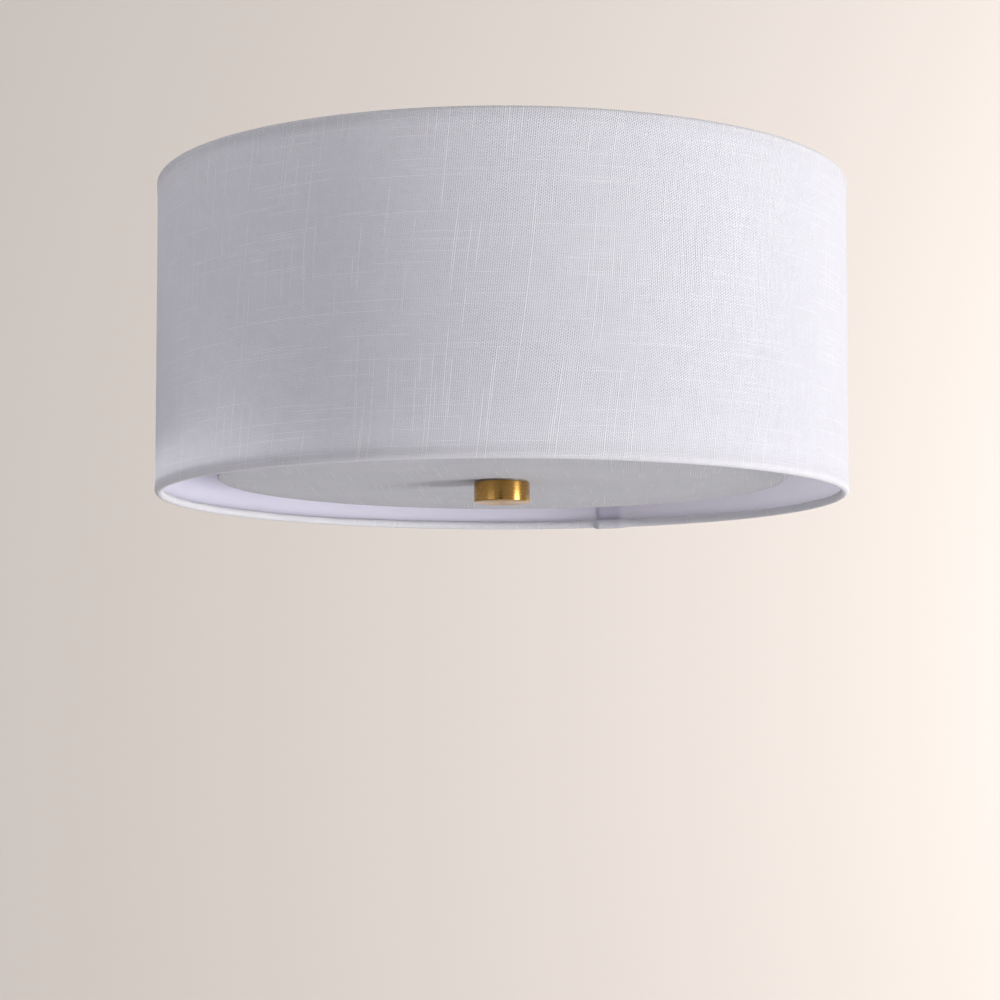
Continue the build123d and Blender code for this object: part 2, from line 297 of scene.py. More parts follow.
def letThrough(tree, shader, colour, share):
    # Part of the light goes on through the layer instead of back.
    through = addNode(tree, "ShaderNodeBsdfTranslucent", inputs={"Color": colour})
    both = addNode(tree, "ShaderNodeMixShader",
                   inputs={0: share, 1: shader.outputs[0], 2: through.outputs[0]})
    tree.links.new(both.outputs[0], tree.nodes["Material Output"].inputs["Surface"])


def innerSide(name):
    # A cloth or film this thin scatters once, which its seen side does, so the hidden side that
    # lies on the next layer only passes light on.
    material = bpy.data.materials.new(name)
    material.use_nodes = True
    tree = material.node_tree
    tree.nodes.remove(tree.nodes["Principled BSDF"])
    clear = addNode(tree, "ShaderNodeBsdfTransparent")
    tree.links.new(clear.outputs[0], tree.nodes["Material Output"].inputs["Surface"])
    return material


linenPatches = {"scale": 11.0, "coolBelow": 0.35, "whiteAbove": 0.62}


def linenCloth(name, settings):
    # Bleached linen, plain woven and slubby: matt, with a faint sheen of raised fibre. The hollows
    # between the threads get painted shade, a darker tint, and the slubs get painted highlights,
    # a brighter tint.
    material, tree, shader = newMaterial(name, {
        "Roughness": 0.86, "IOR": 1.5, "Specular IOR Level": 0.3, "Sheen Weight": 0.12,
        "Sheen Roughness": 0.5})
    uv, cloth = weavePattern(
        tree, settings["warpPitch"], settings["weftPitch"], settings["lean"],
        settings["slubAmount"], settings["seed"])
    patches = addNode(tree, "ShaderNodeTexNoise",
                      inputs={"Vector": uv, "Scale": linenPatches["scale"], "Detail": 3.0,
                              "Roughness": 0.6})
    base = tintBetween(tree, patches.outputs["Fac"],
                       (linenPatches["coolBelow"], settings["coolTint"]),
                       (linenPatches["whiteAbove"], settings["whiteTint"]))
    # the slubs are painted brighter as highlights, and the pores are painted darker as shade
    slubHighlighted = addNode(tree, "ShaderNodeMix", {"data_type": "RGBA"},
                     {0: cloth["slub"], 6: base, 7: linear(settings["slubHighlightTint"])}).outputs[2]
    depth = addNode(tree, "ShaderNodeMath", {"operation": "MULTIPLY"},
                    {0: cloth["paintedPoreShade"], 1: settings["poreShadeDepth"]}).outputs[0]
    sunk = addNode(tree, "ShaderNodeMix", {"data_type": "RGBA"},
                   {0: depth, 6: slubHighlighted, 7: linear(settings["poreShadeTint"])}).outputs[2]
    dress(tree, shader, (cloth["height"], settings["bumpStrength"], settings["bumpHeight"]),
          tone=sunk)
    letThrough(tree, shader, sunk, settings["through"])
    return material


# the slub tint is a painted highlight, and the pore tint and depth are painted shade
shadeCloth = linenCloth("bleached linen, plain weave", {
    "warpPitch": 1.12 * mm, "weftPitch": 0.78 * mm, "lean": 6.0, "slubAmount": 0.057, "seed": 3.0,
    "whiteTint": "#f0eff2", "coolTint": "#eeecf0", "slubHighlightTint": "#fefeff", "poreShadeTint": "#c6c5cf",
    "poreShadeDepth": 0.35, "bumpStrength": 1.0, "bumpHeight": 0.36 * mm, "through": 0.36})
linenBack = innerSide("linen, glued side")
filmBack = innerSide("styrene film, glued side")
# The diffuser's linen is tinted greyer than the shade's linen as painted shade, to darken its
# underside.
shadedDiffuserCloth = linenCloth("linen, fine weave, greyed as painted shade", {
    "warpPitch": 1.0 * mm, "weftPitch": 0.8 * mm, "lean": 2.0, "slubAmount": 0.04, "seed": 9.0,
    "whiteTint": "#c9c9cc", "coolTint": "#c3c3c7", "slubHighlightTint": "#dfdfe2", "poreShadeTint": "#9b9ba3",
    "poreShadeDepth": 0.6, "bumpStrength": 1.0, "bumpHeight": 0.3 * mm, "through": 0.1})


filmFinish = {"threadPitch": 0.95 * mm, "lean": 6.0, "slubAmount": 0.0, "seed": 5.0,
              "haze": 30.0, "gloss": (0.48, 0.66), "printHeight": 0.1 * mm,
              "printStrength": 0.12, "glow": "#f0f0f3"}


def linerFilm(name, tint, share):
    # Matt styrene film glued to the back of the linen, so the weave prints through it faintly.
    material, tree, shader = newMaterial(name, {
        "Base Color": linear(tint), "Roughness": 0.55, "IOR": 1.57, "Specular IOR Level": 0.35})
    pitch = filmFinish["threadPitch"]
    uv, cloth = weavePattern(tree, pitch, pitch, filmFinish["lean"], filmFinish["slubAmount"],
                             filmFinish["seed"])
    haze = addNode(tree, "ShaderNodeTexNoise",
                   inputs={"Vector": uv, "Scale": filmFinish["haze"], "Detail": 3.0})
    dress(tree, shader,
          (cloth["height"], filmFinish["printStrength"], filmFinish["printHeight"]),
          gloss=(haze.outputs["Fac"], wholeRange, filmFinish["gloss"]))
    letThrough(tree, shader, linear(filmFinish["glow"]), share)
    return material


liner = linerFilm("matt styrene liner film", "#e2def4", share=0.66)
linerLap = linerFilm("matt styrene liner film, lapped and glued", "#e8e4f4", share=0.42)


def objectPoint(tree):
    return addNode(tree, "ShaderNodeTexCoord").outputs["Object"]


brassFinish = {"lines": 0.18 * mm, "lineHeight": 0.02 * mm, "lineStrength": 0.25,
               "cloud": 6.25 * mm, "deepTint": "#a67f40", "tint": "#b58c4c",
               "gloss": (0.22, 0.32)}


def satinBrass():
    # Turned brass, satin brushed on the lathe and lacquered: fine rings round the axis, a soft
    # wide highlight, and a slightly deeper tone where the lacquer pools.
    material, tree, shader = newMaterial("satin brushed brass, lacquered", {
        "Metallic": 1.0, "Roughness": 0.27, "Anisotropic": 0.75, "Anisotropic Rotation": 0.25,
        "Coat Weight": 0.1, "Coat Roughness": 0.2})
    rings = addNode(tree, "ShaderNodeTangent", {"direction_type": "RADIAL", "axis": "Z"})
    tree.links.new(rings.outputs[0], shader.inputs["Tangent"])
    point = addNode(tree, "ShaderNodeSeparateXYZ", inputs={"Vector": objectPoint(tree)}).outputs
    flat = addNode(tree, "ShaderNodeCombineXYZ", inputs={"X": point["X"], "Y": point["Y"]})
    away = addNode(tree, "ShaderNodeVectorMath", {"operation": "LENGTH"},
                   {0: flat.outputs[0]}).outputs["Value"]
    # brush lines, drawn along height on the side and along radius on the faces
    alongRadius, alongHeight = (
        addNode(tree, "ShaderNodeMath", {"operation": "DIVIDE"},
                {0: distance, 1: brassFinish["lines"]}).outputs[0]
        for distance in (away, point["Z"]))
    spread = addNode(tree, "ShaderNodeCombineXYZ", inputs={"X": alongRadius, "Y": alongHeight})
    lines = addNode(tree, "ShaderNodeTexNoise",
                    inputs={"Vector": spread.outputs[0], "Scale": 1.0, "Detail": 2.0})
    cloud = addNode(tree, "ShaderNodeTexNoise", inputs={
        "Vector": objectPoint(tree), "Scale": 1 / brassFinish["cloud"], "Detail": 2.0})
    deepBelow, lightAbove = middleRange
    tone = tintBetween(tree, cloud.outputs["Fac"], (deepBelow, brassFinish["deepTint"]),
                       (lightAbove, brassFinish["tint"]))
    dress(tree, shader,
          (lines.outputs["Fac"], brassFinish["lineStrength"], brassFinish["lineHeight"]),
          tone=tone, gloss=(lines.outputs["Fac"], middleRange, brassFinish["gloss"]))
    return material


coatFinish = {"cloudScale": 0.25, "lowBelow": 0.32, "highAbove": 0.68, "peelStrength": 0.3}


def coatedMetal(name, low, high, rough, grain, bumpHeight, metallic):
    # A metal or painted metal whose tone and gloss vary over a grain given in metres.
    material, tree, shader = newMaterial(name, {"Metallic": metallic, "Roughness": sum(rough) / 2})
    point = objectPoint(tree)
    cloud = addNode(tree, "ShaderNodeTexNoise", inputs={
        "Vector": point, "Scale": coatFinish["cloudScale"] / grain, "Detail": 4.0,
        "Roughness": 0.6})
    peel = addNode(tree, "ShaderNodeTexNoise",
                   inputs={"Vector": point, "Scale": 1 / grain, "Detail": 2.0}).outputs["Fac"]
    tone = tintBetween(tree, cloud.outputs["Fac"], (coatFinish["lowBelow"], low),
                       (coatFinish["highAbove"], high))
    dress(tree, shader, (peel, coatFinish["peelStrength"], bumpHeight), tone=tone,
          gloss=(peel, middleRange, rough))
    return material


zincFinish = {"spangle": 3.2 * mm, "gloss": (0.28, 0.46), "grit": 0.5 * mm, "gritStrength": 0.2,
              "gritHeight": 0.02 * mm}


def zincPlate(name, tint, deepTint):
    # Bright zinc plate: flat spangles a few millimetres wide that differ in tone and gloss.
    material, tree, shader = newMaterial(name, {"Metallic": 1.0, "Roughness": 0.36})
    spangle = addNode(tree, "ShaderNodeTexVoronoi", {"feature": "F1"},
                      {"Vector": objectPoint(tree), "Scale": 1 / zincFinish["spangle"]})
    shades = addNode(tree, "ShaderNodeSeparateXYZ", inputs={"Vector": spangle.outputs["Color"]})
    grit = addNode(tree, "ShaderNodeTexNoise", inputs={
        "Vector": objectPoint(tree), "Scale": 1 / zincFinish["grit"], "Detail": 2.0})
    dress(tree, shader,
          (grit.outputs["Fac"], zincFinish["gritStrength"], zincFinish["gritHeight"]),
          tone=tintBetween(tree, shades.outputs["X"], (0.0, deepTint), (1.0, tint)),
          gloss=(shades.outputs["Y"], wholeRange, zincFinish["gloss"]))
    return material


brass = satinBrass()
whiteEnamel = coatedMetal("white powder coat, orange peel", "#e4e3df", "#ecebe7",
                          rough=(0.34, 0.46), grain=1.4 * mm, bumpHeight=0.03 * mm, metallic=0.0)
zinc = zincPlate("bright zinc plate on steel", "#c3c7cb", "#a9adb2")
greenZinc = coatedMetal("green dyed zinc plate", "#1e6b38", "#2c8449",
                        rough=(0.3, 0.45), grain=1.0 * mm, bumpHeight=0.02 * mm, metallic=0.85)
contactMetal = coatedMetal("tinned contact brass", "#b7974f", "#c9ab66",
                           rough=(0.3, 0.42), grain=0.8 * mm, bumpHeight=0.01 * mm, metallic=1.0)
shellMetal = coatedMetal("rolled aluminium", "#c4c5c6", "#d3d4d5",
                         rough=(0.28, 0.4), grain=0.7 * mm, bumpHeight=0.01 * mm, metallic=1.0)
capMetal = coatedMetal("nickel plated lamp cap", "#c7c4bb", "#d6d3ca",
                       rough=(0.22, 0.34), grain=0.9 * mm, bumpHeight=0.01 * mm, metallic=1.0)
phenolic = coatedMetal("moulded black phenolic", "#15130f", "#1f1c18",
                       rough=(0.32, 0.44), grain=0.9 * mm, bumpHeight=0.02 * mm, metallic=0.0)
bulbBody = coatedMetal("moulded white polyester", "#e6e6e1", "#eeeeea",
                       rough=(0.38, 0.48), grain=0.8 * mm, bumpHeight=0.02 * mm, metallic=0.0)
insulatorGlass = coatedMetal("black glass insulator", "#0c0b12", "#171520",
                             rough=(0.08, 0.14), grain=1.5 * mm, bumpHeight=0.01 * mm,
                             metallic=0.0)
# The washer's dark grey brown is painted shade, for the dark gap between the finial and the
# diffuser.
shadedWasherNylon = coatedMetal("nylon, darkened as painted shade", "#6e6a60", "#7a766b",
                          rough=(0.3, 0.42), grain=0.8 * mm, bumpHeight=0.01 * mm, metallic=0.0)


opalFinish = {"cloud": 18 * mm, "deepBelow": 0.35, "lightAbove": 0.65, "ripple": 4 * mm,
              "rippleStrength": 0.15, "rippleHeight": 0.02 * mm, "radius": (1.0, 0.95, 0.9)}


def opalPlastic(name, tint, deepTint, rough, depth):
    # Opal plastic: light goes in and scatters, so it looks milky and its edges glow a little.
    material, tree, shader = newMaterial(name, {
        "Roughness": rough, "IOR": 1.49, "Subsurface Weight": 0.5, "Subsurface Scale": depth,
        "Subsurface Radius": opalFinish["radius"]})
    cloud = addNode(tree, "ShaderNodeTexNoise", inputs={
        "Vector": objectPoint(tree), "Scale": 1 / opalFinish["cloud"], "Detail": 2.0})
    ripple = addNode(tree, "ShaderNodeTexNoise", inputs={
        "Vector": objectPoint(tree), "Scale": 1 / opalFinish["ripple"], "Detail": 1.0})
    tone = tintBetween(tree, cloud.outputs["Fac"], (opalFinish["deepBelow"], deepTint),
                       (opalFinish["lightAbove"], tint))
    dress(tree, shader,
          (ripple.outputs["Fac"], opalFinish["rippleStrength"], opalFinish["rippleHeight"]),
          tone=tone)
    return material


opalPanel = opalPlastic("opal acrylic sheet", "#efefec", "#ececea", rough=0.3, depth=2 * mm)
opalGlobe = opalPlastic("opal polycarbonate globe", "#f4f3ee", "#eeede8", rough=0.32,
                        depth=1.5 * mm)
print("finishes ready")


# Shade: one strip of linen wrapped into a drum and rolled round two wire rings

shadeLow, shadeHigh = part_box("shade_fabric")
wireLow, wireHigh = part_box("shade_bottom_ring")
wireRadius = (wireHigh.z - wireLow.z) / 2
shade = {
    "radius": shadeHigh.x,
    "top": shadeHigh.z,
    "bottom": shadeLow.z,
    "clothThickness": 0.6 * mm,
    "hemEnd": 312.0,              # degrees round the wire, from the wall to the tucked edge
    "wallEase": 0.3 * mm,         # the wall draws in this much between the rings
    "easeFrom": 1 * mm,
    "easeOver": 6.0 * mm,
    "lap": 16.5 * mm,
    "seamAngle": 67.2,            # where the lap starts, from +X
    "lapStep": 0.68 * mm,         # how far the lapped end stands out
    "lapBefore": 7 * mm,          # where it starts to climb, before the girth is full
    "lapClimb": 6 * mm,
    "sway": 0.25 * mm,            # slow unevenness of the wall, none near the rings
    "swayOver": 30 * mm,
    "swayRound": 2,               # how soon it changes round the drum and up it
    "swayUp": 9,
    "slitReach": 6 * mm,          # the upper hem's slit on each side of an arm
    "slitHalf": 2.2 * mm,
    "slitShare": 0.5,
    "tuckFrom": 120,              # degrees round the wire where the gathers start
    "tuckOver": 80,
    "gathers": ((55, 0.3, 0.34 * mm), (190, 4.1, 0.28 * mm)),    # per metre, noise row, height
    "hemsApart": 3,               # sets the two hems' gathers apart
    "columns": 420,
    "hemRows": 15,
    "wallRows": 26,
    "rowsNearRing": (1.5 * mm, 3.0 * mm, 4.5 * mm),
}
shade["hemRadius"] = wireRadius + shade["clothThickness"]
ringRadius = shade["radius"] - shade["hemRadius"]
lowRing = shade["bottom"] + shade["hemRadius"]
highRing = shade["top"] - shade["hemRadius"]
girth = fullTurn * shade["radius"]
hemLength = math.radians(shade["hemEnd"]) * shade["hemRadius"]
wallLength = highRing - lowRing
armAngles = [90.0, 210.0, 330.0]


def smoothStep(x):
    x = min(max(x, 0.0), 1.0)
    return x * x * (3 - 2 * x)


def angleGap(a, b):
    return abs((a - b + 180) % 360 - 180)


def mapFlat(bm):
    # The UV map holds the flat cloth's own places, in metres.
    layer = bm.loops.layers.uv.new("cloth")
    for face in bm.faces:
        for loop in face.loops:
            loop[layer].uv = loop.vert.co.xy


def clothGrid(width, columns, levels):
    # A flat strip of cloth with rows at the given levels.
    bm = bmesh.new()
    rows = len(levels) - 1
    bmesh.ops.create_grid(bm, x_segments=columns, y_segments=rows, size=0.5)
    for vert in bm.verts:
        row = round((vert.co.y + 0.5) * rows)
        vert.co = ((vert.co.x + 0.5) * width, levels[row], 0)
    mapFlat(bm)
    return bm


def hemPucker(along, level):
    # Small gathers in the turned-in part of the hem.
    return sum(noise.noise(Vector((along * often, level, row))) * height
               for often, row, height in shade["gathers"])


def wallShift(angle, up):
    # How far the wall lies outside the rings' own radius. It draws in between them and sways.
    fromRing = min(up - hemLength, hemLength + wallLength - up)
    ease = shade["wallEase"] * smoothStep((fromRing - shade["easeFrom"]) / shade["easeOver"])
    sway = noise.noise(onCircle(shade["swayRound"], angle, up * shade["swayUp"]))
    return sway * shade["sway"] * smoothStep(fromRing / shade["swayOver"]) - ease


def angleOf(along):
    return math.radians(shade["seamAngle"]) + along / shade["radius"]


def lapShift(layer, along):
    # How far the last of a strip leaves the circle, to lie on the first of it.
    start = girth - layer["lapBefore"]
    return layer["lapStep"] * smoothStep((along - start) / layer["lapClimb"])


def shadePoint(along, up):
    # Where a point of the flat strip goes on the drum.
    angle, lift = angleOf(along), lapShift(shade, along)
    if up < hemLength:
        turn, level, side = (hemLength - up) / shade["hemRadius"], lowRing, -1
    elif up > hemLength + wallLength:
        turn, level, side = (up - hemLength - wallLength) / shade["hemRadius"], highRing, 1
    else:
        radius = shade["radius"] + lift + wallShift(angle, up)
        return onCircle(radius, angle, lowRing + up - hemLength)
    if side == 1:
        # the hem is slit where an arm leaves the ring
        for arm in armAngles:
            off = math.radians(angleGap(math.degrees(angle), arm)) * ringRadius
            if off < shade["slitReach"]:
                closed = smoothStep(
                    (off - shade["slitHalf"]) / (shade["slitReach"] - shade["slitHalf"]))
                turn *= 1 - shade["slitShare"] * (1 - closed)
    tucked = smoothStep((math.degrees(turn) - shade["tuckFrom"]) / shade["tuckOver"])
    size = shade["hemRadius"] + lift + tucked * hemPucker(along, side * shade["hemsApart"])
    return onCircle(ringRadius + size * math.cos(turn), angle,
                    level + side * size * math.sin(turn))


def shadeRows():
    # The rows lie closer together round the rings' wire and next to it.
    hem = [hemLength * i / shade["hemRows"] for i in range(shade["hemRows"])]
    wall = [hemLength + wallLength * i / shade["wallRows"] for i in range(shade["wallRows"])]
    near = [hemLength + step for step in shade["rowsNearRing"]]
    far = [hemLength + wallLength - step for step in shade["rowsNearRing"]]
    top = [hemLength + wallLength + hemLength * i / shade["hemRows"]
           for i in range(shade["hemRows"] + 1)]
    return sorted(set(hem + wall + near + far + top))


def faceOutward(bm):
    # The wall's middle band tells which way the sheet faces.
    bmesh.ops.recalc_face_normals(bm, faces=bm.faces)
    middle = (lowRing + highRing) / 2
    centres = [(face, face.calc_center_median()) for face in bm.faces]
    if sum(face.normal.dot(Vector((at.x, at.y, 0))) for face, at in centres
           if abs(at.z - middle) < wallLength / 4) < 0:
        bmesh.ops.reverse_faces(bm, faces=bm.faces)


def thicken(piece, name, depth, **offsets):
    # The sheet grows from its seen side, and offsets picks the materials of the other faces.
    thickness = piece.modifiers.new(name, "SOLIDIFY")
    thickness.thickness, thickness.offset = depth, -1
    for setting, value in offsets.items():
        setattr(thickness, setting, value)


def makeShadeLinen():
    width = girth + shade["lap"]
    bm = clothGrid(width, shade["columns"], shadeRows())
    for vert in bm.verts:
        vert.co = shadePoint(vert.co.x, vert.co.y)
    faceOutward(bm)
    piece = place(bm, "shade_linen", "root", [shadeCloth, linenBack], ["shade_fabric"],
                  sharpAbove=50)
    thicken(piece, "cloth thickness", shade["clothThickness"], material_offset=1)


film = {"gap": 0.02 * mm, "thickness": 0.38 * mm, "lapStep": 0.45 * mm, "lapBefore": 5 * mm,
        "lapClimb": 4 * mm, "columns": 360, "rows": 24}


def makeLiner():
    # The film stops at the wires. Its ends lap at the cloth's seam.
    low, high = lowRing + wireRadius, highRing - wireRadius
    outside = shade["radius"] - shade["clothThickness"] - film["gap"]
    width = girth + shade["lap"]
    rows = [low + (high - low) * i / film["rows"] for i in range(film["rows"] + 1)]
    bm = clothGrid(width, film["columns"], rows)
    for face in bm.faces:
        if face.calc_center_median().x > girth:
            face.material_index = 1
    for vert in bm.verts:
        along, level = vert.co.x, vert.co.y
        angle = angleOf(along)
        # the last of the strip lies inside the first
        radius = outside - lapShift(film, along) + wallShift(angle, level - lowRing + hemLength)
        vert.co = onCircle(radius, angle, level)
    faceOutward(bm)
    piece = place(bm, "shade_liner_film", "root",
                  [filmBack, filmBack, liner, linerLap], ["shade_liner"], sharpAbove=50)
    thicken(piece, "film thickness", film["thickness"], material_offset=2,
            material_offset_rim=2)


spider = {
    "wire": wireRadius,
    "arm": 1.8 * mm,
    "armInner": 11.0 * mm,
    "armBend": 74.0 * mm,
    "armLevel": -28.8 * mm,
    "bendRadius": 20 * mm,
    "hubRadius": 18 * mm,
    "hubTop": -25.4 * mm,
    "hubThickness": 2 * mm,
    "hubHole": 5.3 * mm,
    "hubEdge": 0.35 * mm,
    "beadAt": (14.5 * mm, 1.9 * mm, -0.3 * mm),    # from the middle, beside the arm, below the hub
    "beadSize": (3.2 * mm, 1.1 * mm, 0.9 * mm),
    "wireSides": 14,
    "ringSteps": 216,
    "bendSteps": 5,
}


def ringForm(bm, level):
    form = bmesh.new()
    made = bmesh.ops.create_circle(
        form, cap_ends=False, segments=spider["wireSides"], radius=spider["wire"],
        matrix=Matrix.Translation((ringRadius, 0, level)) @ Matrix.Rotation(math.pi / 2, 4, "X"))
    edges = list({e for v in made["verts"] for e in v.link_edges})
    bmesh.ops.spin(form, geom=made["verts"] + edges, cent=(0, 0, 0), axis=(0, 0, 1),
                   angle=fullTurn, steps=spider["ringSteps"], use_merge=True)
    closeUp(form)
    joinForms(bm, form)


def armForm(bm, turn):
    # Level under the hub, up through one bend, then straight to the top ring.
    rise = highRing - spider["armLevel"]
    run = ringRadius - spider["armBend"]
    slope = math.atan2(rise, run)
    setback = spider["bendRadius"] * math.tan(slope / 2)
    form = bmesh.new()
    start = bmesh.ops.create_circle(
        form, cap_ends=True, segments=spider["wireSides"], radius=spider["arm"],
        matrix=Matrix.Translation((spider["armInner"], 0, spider["armLevel"]))
        @ Matrix.Rotation(math.pi / 2, 4, "Y"))
    end = start["verts"][0].link_faces[0]

    def pushOn(offset):
        nonlocal end
        grown = bmesh.ops.extrude_face_region(form, geom=[end])["geom"]
        end = next(g for g in grown if isinstance(g, bmesh.types.BMFace))
        bmesh.ops.translate(form, verts=list(end.verts), vec=offset)

    level = spider["armBend"] - setback - spider["armInner"]
    pushOn(Vector((level, 0, 0)))
    centre = Vector((spider["armBend"] - setback, 0, spider["armLevel"] + spider["bendRadius"]))
    for _ in range(spider["bendSteps"]):
        pushOn(Vector((0, 0, 0)))
        bmesh.ops.rotate(form, verts=list(end.verts), cent=centre,
                         matrix=Matrix.Rotation(-slope / spider["bendSteps"], 3, "Y"))
    rest = math.hypot(rise, run) - setback
    pushOn(Vector((math.cos(slope), 0, math.sin(slope))) * rest)
    closeUp(form)
    joinForms(bm, form, Matrix.Rotation(math.radians(turn), 4, "Z"))


def weldBead(bm, middle, size, turn):
    form = bmesh.new()
    bmesh.ops.create_uvsphere(form, u_segments=12, v_segments=8, radius=1.0,
                              matrix=Matrix.Translation(middle) @ Matrix.Diagonal((*size, 1)))
    joinForms(bm, form, Matrix.Rotation(math.radians(turn), 4, "Z"))


def makeSpider():
    bm = bmesh.new()
    ringForm(bm, highRing)
    low = spider["hubTop"] - spider["hubThickness"]
    turnedForm(bm, [(spider["hubHole"], spider["hubTop"]), (spider["hubHole"], low),
                    (spider["hubRadius"], low), (spider["hubRadius"], spider["hubTop"])],
               steps=72, edge=spider["hubEdge"])
    out, beside, below = spider["beadAt"]
    for turn in armAngles:
        armForm(bm, turn)
        for side in (-1, 1):
            weldBead(bm, (out, side * beside, low + below), spider["beadSize"], turn)
    place(bm, "shade_spider_wire", "root", [whiteEnamel], ["shade_spider"])


def makeLowRing():
    bm = bmesh.new()
    ringForm(bm, lowRing)
    place(bm, "shade_rings", "root", [whiteEnamel], ["shade_bottom_ring"])


makeSpider()
makeLowRing()
makeShadeLinen()
makeLiner()
print("shade ready")


# Ceiling parts: canopy, crossbar, screw, stem and nuts

canopy = {"radius": 63.5 * mm, "depth": 25.4 * mm, "sheet": 1.0 * mm, "corner": 5.0 * mm,
          "hole": 5.3 * mm, "edge": 0.3 * mm}
thread = {"radius": 5.0 * mm, "root": 4.45 * mm, "bore": 3.5 * mm, "pitch": 1.0 * mm,
          "steps": 24, "flat": 0.25, "runOut": 0.2 * mm, "edge": 0.15 * mm}
nut = {"flats": 14.3 * mm, "height": 4.5 * mm, "chamfer": 30.0, "chamferAt": 0.497,
       "chamferCuts": 12,
       "lockLevels": (-6.1 * mm, -31.9 * mm, -62.0 * mm, -92.5 * mm, -102.5 * mm),
       "stopLevel": -170.95 * mm}
stems = {"centre_nipple": {"low": -68.0 * mm, "high": 0.0, "bore": thread["bore"]},
         "lower_rod": {"low": -184.35 * mm, "high": -85.0 * mm, "bore": 0.0}}


def makeCanopy():
    bm = bmesh.new()
    rim, low, sheet = canopy["radius"], -canopy["depth"], canopy["sheet"]
    turnedForm(bm, [(rim, 0), (rim, low), (canopy["hole"], low), (canopy["hole"], low + sheet),
                    (rim - sheet, low + sheet), (rim - sheet, 0)],
               steps=144, edge=canopy["edge"],
               rounds=[(1, canopy["corner"]), (4, canopy["corner"] - sheet)])
    place(bm, "canopy_pan", "root", [whiteEnamel], ["canopy"])


def threadedTube(bm, low, high, bore):
    core = thread["root"]
    turnedForm(bm, [(bore, low), (core, low), (core, high), (bore, high)], steps=48,
               edge=thread["edge"], segments=1)
    threadForm(bm, core, thread["radius"], low + thread["runOut"], high - thread["runOut"],
               thread["pitch"], thread["steps"], thread["flat"])


def nutForm(bm, low):
    form = bmesh.new()
    corner = nut["flats"] / 2 / math.cos(math.pi / 6)
    high = low + nut["height"]
    bmesh.ops.create_cone(form, cap_ends=True, segments=6, radius1=corner, radius2=corner,
                          depth=nut["height"],
                          matrix=Matrix.Translation((0, 0, (low + high) / 2))
                          @ Matrix.Rotation(math.pi / 6, 4, "Z"))
    slope = math.tan(math.radians(nut["chamfer"]))
    for side, level in ((1, high), (-1, low)):
        for i in range(nut["chamferCuts"]):
            out = onCircle(1, fullTurn / nut["chamferCuts"] * i, 0)
            edges = cutAway(form, out * nut["flats"] * nut["chamferAt"] + Vector((0, 0, level)),
                            (out * slope + Vector((0, 0, side))).normalized())
            if edges:
                bmesh.ops.contextual_create(form, geom=edges)
    bmesh.ops.holes_fill(form, edges=form.edges, sides=0)
    closeUp(form)
    joinForms(bm, form)


def makeStem(name, node):
    bm = bmesh.new()
    threadedTube(bm, stems[node]["low"], stems[node]["high"], stems[node]["bore"])
    place(bm, name, "root", [zinc], [node])


def makeNuts(name, node, levels):
    bm = bmesh.new()
    for level in levels:
        nutForm(bm, level)
    place(bm, name, "root", [zinc], [node], sharpAbove=20)


machined = {"flatWithin": 0.8, "sharpAbove": 40.0, "edgeSteps": 2}


def makeMachined(name, node, width, body, material):
    # A merged copy of a CAD node's mesh with its machined edges eased.
    bm = bmesh.new()
    bm.from_mesh(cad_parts[node].data)
    bmesh.ops.remove_doubles(bm, verts=bm.verts, dist=nearEnough)
    bmesh.ops.dissolve_limit(bm, angle_limit=math.radians(machined["flatWithin"]), verts=bm.verts,
                             edges=bm.edges, delimit={"NORMAL"})
    bevelEdges(bm, sharpEdges(bm, machined["sharpAbove"]), width, machined["edgeSteps"])
    place(bm, name, body, [material], [node])


makeCanopy()
makeStem("centre_nipple_threaded", "centre_nipple")
makeStem("lower_rod_threaded", "lower_rod")
makeNuts("hex_lock_nuts", "lock_nuts", nut["lockLevels"])
makeNuts("diffuser_stop_hex_nut", "diffuser_stop_nut", [nut["stopLevel"]])
makeMachined("crossbar_strap", "crossbar", 0.3 * mm, "root", zinc)
makeMachined("ground_screw_head", "ground_screw", 0.3 * mm, "root", greenZinc)
makeMachined("cluster_body_turned", "cluster_body", 0.4 * mm, "root",
             whiteEnamel)
makeMachined("cluster_cover_turned", "cluster_cover", 0.4 * mm, "root",
             whiteEnamel)
makeMachined("diffuser_washer_steel", "diffuser_washer", 0.25 * mm, "diffuser",
             zinc)
print("ceiling parts ready")


# Lamp holders and lamps, drawn along +Z from the middle of the cluster and laid on the lamps' axis

